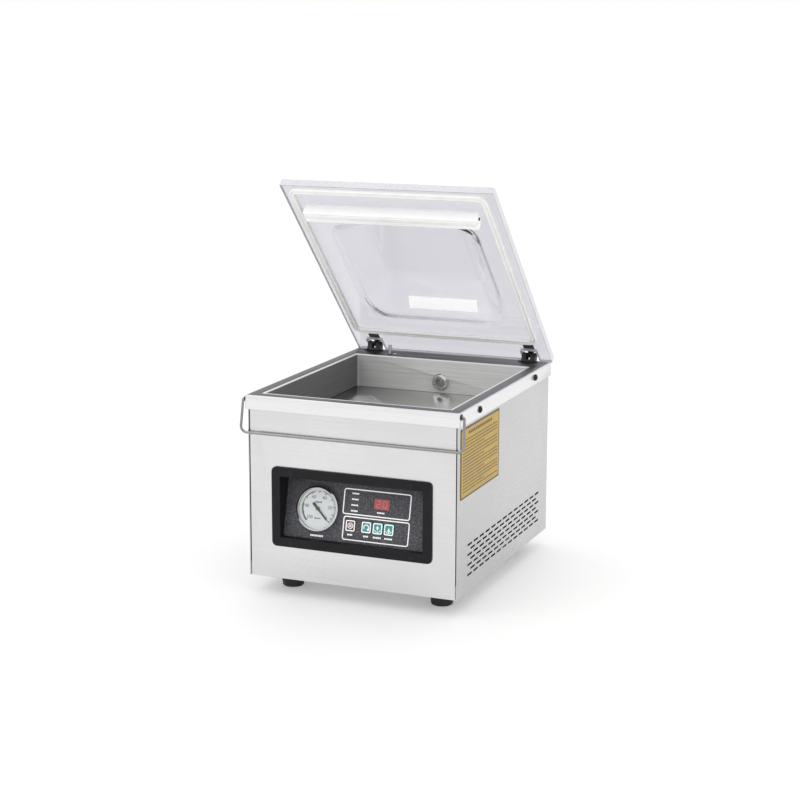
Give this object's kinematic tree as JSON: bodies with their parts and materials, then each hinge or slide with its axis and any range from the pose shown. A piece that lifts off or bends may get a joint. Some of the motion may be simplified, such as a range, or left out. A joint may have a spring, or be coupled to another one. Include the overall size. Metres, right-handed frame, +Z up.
{
  "type": "vacuum chamber sealer",
  "caption": "Tabletop vacuum chamber sealer: boxy steel case, raised control panel, vacuum gauge, sealing bar in the chamber, clear domed lid held open by spring hinges, wire latch bail.",
  "frame": {"origin": "on the floor, under the centre of the bounding box of the machine with its lid open", "axes": "+Z up, -Y towards the person at the control panel, +X to that person's right"},
  "size_m": [0.3462, 0.4245, 0.5921],
  "materials": {
    "brushed_steel": "brushed lengthwise",
    "inner_steel": "plain rolled",
    "chromed_wire": "bright",
    "clear_acrylic": "clear, polished",
    "pale_silicone": "satin, slightly translucent",
    "white_plastic": "satin",
    "white_paper": "matt",
    "amber_label": "satin printed film",
    "black_plastic": "fine grained",
    "black_rubber": "matt",
    "black_paint": "satin",
    "grey_panel": "fine textured film",
    "teal_key": "satin",
    "red_key": "satin",
    "red_window": "clear red",
    "clear_glass": "polished",
    "cast_iron": "painted grey",
    "green_board": "solder mask",
    "tan_tape": "coated glass cloth",
    "bar_aluminium": "machined"
  },
  "bodies": {
    "machine": {"base_tray": "inner_steel", "chamber_tank": "brushed_steel", "front_panel": "brushed_steel", "left_side_panel": "brushed_steel", "right_side_panel": "brushed_steel", "rear_panel": "brushed_steel", "instruction_label": "amber_label", "foot_front_left": "black_rubber", "foot_front_right": "black_rubber", "foot_rear_left": "black_rubber", "foot_rear_right": "black_rubber", "suction_fitting": "inner_steel", "suction_nut": "chromed_wire", "lift_cylinder_left": "bar_aluminium", "lift_cylinder_right": "bar_aluminium", "hinge_bracket_left": "black_paint", "hinge_bracket_right": "black_paint", "hinge_pin_left": "chromed_wire", "hinge_pin_right": "chromed_wire", "hinge_spring_left": "chromed_wire", "hinge_spring_right": "chromed_wire", "latch_bush_left": "black_plastic", "latch_bush_right": "black_plastic", "lid_switch": "black_plastic", "panel_bezel": "black_plastic", "panel_face": "grey_panel", "gauge_case": "chromed_wire", "gauge_dial": "white_paper", "gauge_lens": "clear_glass", "display_window": "red_window", "control_board": "green_board", "pump_body": "cast_iron", "motor_housing": "cast_iron", "fan_cowl": "black_paint", "transformer": "cast_iron", "solenoid_valve": "bar_aluminium", "vacuum_hose": "black_rubber", "power_inlet": "black_plastic"},
    "lid": {"lid_shell": "clear_acrylic", "lid_gasket": "pale_silicone", "pressure_bar": "white_plastic", "silicone_strip": "pale_silicone", "lid_sticker": "white_paper", "hinge_leaf_left": "black_paint", "hinge_leaf_right": "black_paint"},
    "bail": {"latch_bail": "chromed_wire"},
    "sealing_bar": {"seal_bar": "bar_aluminium", "heating_ribbon": "chromed_wire", "seal_tape": "tan_tape", "lift_plunger_left": "white_plastic", "lift_plunger_right": "white_plastic"},
    "switch_pin": {"lid_switch_pin": "chromed_wire"},
    "stop_button": {"key_stop": "red_key"},
    "set_button": {"key_set": "teal_key"},
    "up_button": {"key_up": "teal_key"},
    "down_button": {"key_down": "teal_key"},
    "needle": {"gauge_needle": "black_plastic"},
    "motor_rotor": {"rotor_shaft": "inner_steel", "fan_rotor": "black_plastic"},
    "rocker": {"power_rocker": "black_plastic"}
  },
  "joints": [
    {"name": "lid_hinge", "type": "hinge", "parent": "machine", "child": "lid", "pos_m": [0, 0.2015, 0.304], "axis": [1, 0, 0], "range_deg": [0, 45], "stiffness_Nm_per_rad": 4, "springref_deg": -68.75},
    {"name": "latch_bail_swing", "type": "hinge", "parent": "machine", "child": "bail", "pos_m": [0, -0.2, 0.289], "axis": [-1, 0, 0], "range_deg": [0, 229.5]},
    {"name": "seal_bar_lift", "type": "slide", "parent": "machine", "child": "sealing_bar", "axis": [0, 0, 1], "range_m": [0, 0.0095]},
    {"name": "lid_switch_press", "type": "slide", "parent": "machine", "child": "switch_pin", "axis": [0, 0, -1], "range_m": [0, 0.0086]},
    {"name": "key_stop_press", "type": "slide", "parent": "machine", "child": "stop_button", "axis": [0, 0.9715, -0.2368], "range_m": [0, 0.001], "stiffness_N_per_m": 400, "springref_m": -0.0005},
    {"name": "key_set_press", "type": "slide", "parent": "machine", "child": "set_button", "axis": [0, 0.9715, -0.2368], "range_m": [0, 0.001], "stiffness_N_per_m": 400, "springref_m": -0.0005},
    {"name": "key_up_press", "type": "slide", "parent": "machine", "child": "up_button", "axis": [0, 0.9715, -0.2368], "range_m": [0, 0.001], "stiffness_N_per_m": 400, "springref_m": -0.0005},
    {"name": "key_down_press", "type": "slide", "parent": "machine", "child": "down_button", "axis": [0, 0.9715, -0.2368], "range_m": [0, 0.001], "stiffness_N_per_m": 400, "springref_m": -0.0005},
    {"name": "gauge_needle_turn", "type": "hinge", "parent": "machine", "child": "needle", "pos_m": [-0.0585, -0.18308, 0.13175], "axis": [0, -0.9715, 0.2368], "range_deg": [0, 270], "stiffness_Nm_per_rad": 0.001, "springref_deg": -17.19},
    {"name": "motor_spin", "type": "hinge", "parent": "machine", "child": "motor_rotor", "pos_m": [0.045, 0, 0.111], "axis": [0, -1, 0], "continuous": true},
    {"name": "power_rocker_tilt", "type": "hinge", "parent": "machine", "child": "rocker", "pos_m": [-0.092, 0.1975, 0.072], "axis": [1, 0, 0], "range_deg": [0, 24]}
  ],
  "couplings": [
    {"joint": "lid_switch_press", "follows": "lid_hinge", "m_per_rad": 0.010823}
  ]
}
